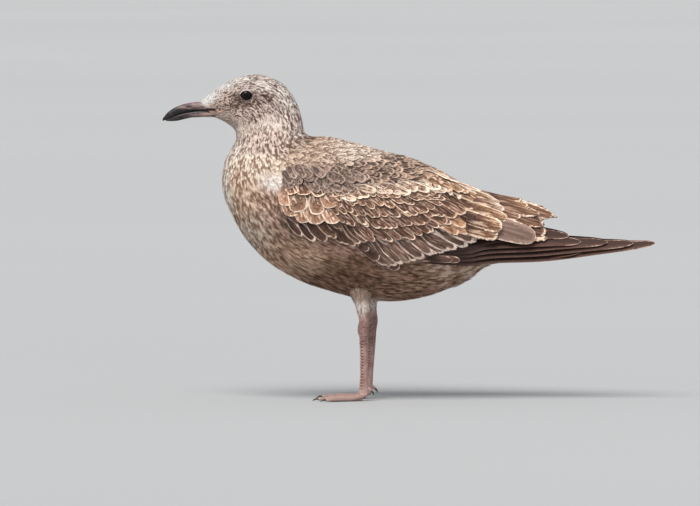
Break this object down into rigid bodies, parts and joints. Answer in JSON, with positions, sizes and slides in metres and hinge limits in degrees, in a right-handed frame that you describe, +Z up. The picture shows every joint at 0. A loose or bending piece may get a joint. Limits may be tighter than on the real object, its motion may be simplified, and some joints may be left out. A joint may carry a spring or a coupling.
{
  "type": "herring gull",
  "caption": "Standing young herring gull, life size, wings folded, one solid for each part of the body.",
  "frame": {"origin": "on the floor under the middle of the bird's overall box", "axes": "-X towards the bill's tip, +X towards the wing tips, +Z up, the bird's left side at -Y"},
  "size_m": [0.566, 0.139, 0.3745],
  "materials": {
    "head_feathers": "short soft feathers, buff white with fine brown streaks",
    "body_feathers": "soft feathers, mottled grey-brown and pale buff",
    "back_feathers": "firm feathers, grey-brown centres with pale buff edges",
    "wing_feathers": "firm feathers, rusty brown with pale frayed edges",
    "flight_feathers": "stiff smooth feathers, blackish brown with thin pale tips",
    "bill_horn": "satin horn, blackish with a dull pink base",
    "eye": "wet and glossy, almost black",
    "leg_skin": "scaly skin, dull pink",
    "claw_horn": "satin horn, blackish"
  },
  "bodies": {
    "root": {"bill_lower": "bill_horn", "bill_upper": "bill_horn", "claw_left_inner": "claw_horn", "claw_left_middle": "claw_horn", "claw_left_outer": "claw_horn", "claw_right_inner": "claw_horn", "claw_right_middle": "claw_horn", "claw_right_outer": "claw_horn", "eye_left": "eye", "eye_right": "eye", "foot_left": "leg_skin", "foot_right": "leg_skin", "head": "head_feathers", "hind_claw_left": "claw_horn", "hind_claw_right": "claw_horn", "hind_toe_left": "leg_skin", "hind_toe_right": "leg_skin", "neck": "head_feathers", "rump": "body_feathers", "tail": "flight_feathers", "tarsus_left": "leg_skin", "tarsus_right": "leg_skin", "thigh_left": "body_feathers", "thigh_right": "body_feathers", "tibia_left": "leg_skin", "tibia_right": "leg_skin", "trunk": "body_feathers", "wing_left_coverts": "wing_feathers", "wing_left_primary_10": "flight_feathers", "wing_left_primary_7": "flight_feathers", "wing_left_primary_8": "flight_feathers", "wing_left_primary_9": "flight_feathers", "wing_left_scapulars": "back_feathers", "wing_left_tertial_1": "wing_feathers", "wing_left_tertial_2": "wing_feathers", "wing_left_tertial_3": "wing_feathers", "wing_right_coverts": "wing_feathers", "wing_right_primary_10": "flight_feathers", "wing_right_primary_7": "flight_feathers", "wing_right_primary_8": "flight_feathers", "wing_right_primary_9": "flight_feathers", "wing_right_scapulars": "back_feathers", "wing_right_tertial_1": "wing_feathers", "wing_right_tertial_2": "wing_feathers", "wing_right_tertial_3": "wing_feathers"}
  },
  "joints": []
}
